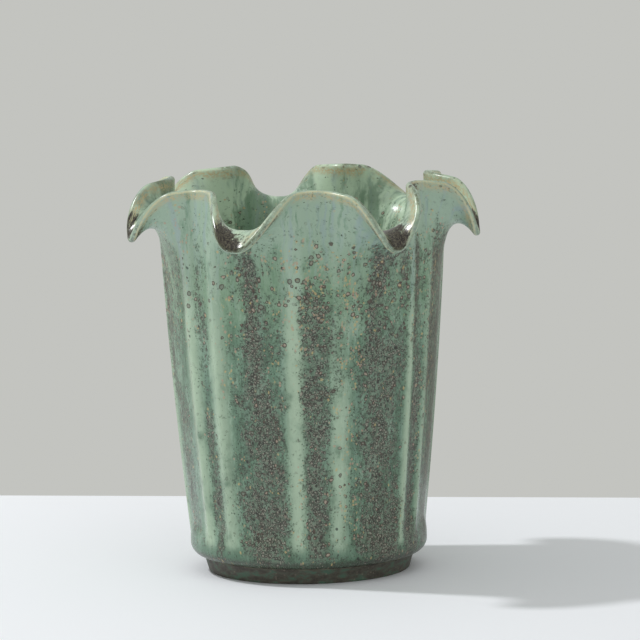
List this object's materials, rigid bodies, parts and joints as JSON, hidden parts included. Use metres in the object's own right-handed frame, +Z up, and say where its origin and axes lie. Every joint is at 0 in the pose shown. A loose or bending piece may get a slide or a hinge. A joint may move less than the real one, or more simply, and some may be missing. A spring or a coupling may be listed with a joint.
{
  "type": "stoneware vase",
  "caption": "Open stoneware vase with a fluted, slightly flaring wall, a ruffled rim of upright petals and down-curled lips, and a turned foot.",
  "frame": {"origin": "centre of the foot on the surface the vase stands on", "axes": "+Z up along the vase's axis, -Y towards the front, +X to the right seen from the front"},
  "size_m": [0.1777, 0.1824, 0.2011],
  "materials": {
    "speckled_glaze": "semi-gloss green glaze with dark iron speckles that break to pale green on the ridges and tan on the rim",
    "inside_glaze": "semi-gloss green glaze, a little yellower than outside",
    "foot_clay": "dark fired stoneware under a thin brown wash, nearly matt"
  },
  "bodies": {
    "root": {"fluted_wall": "speckled_glaze", "base_disc": "inside_glaze", "foot_ring": "foot_clay"}
  },
  "joints": []
}
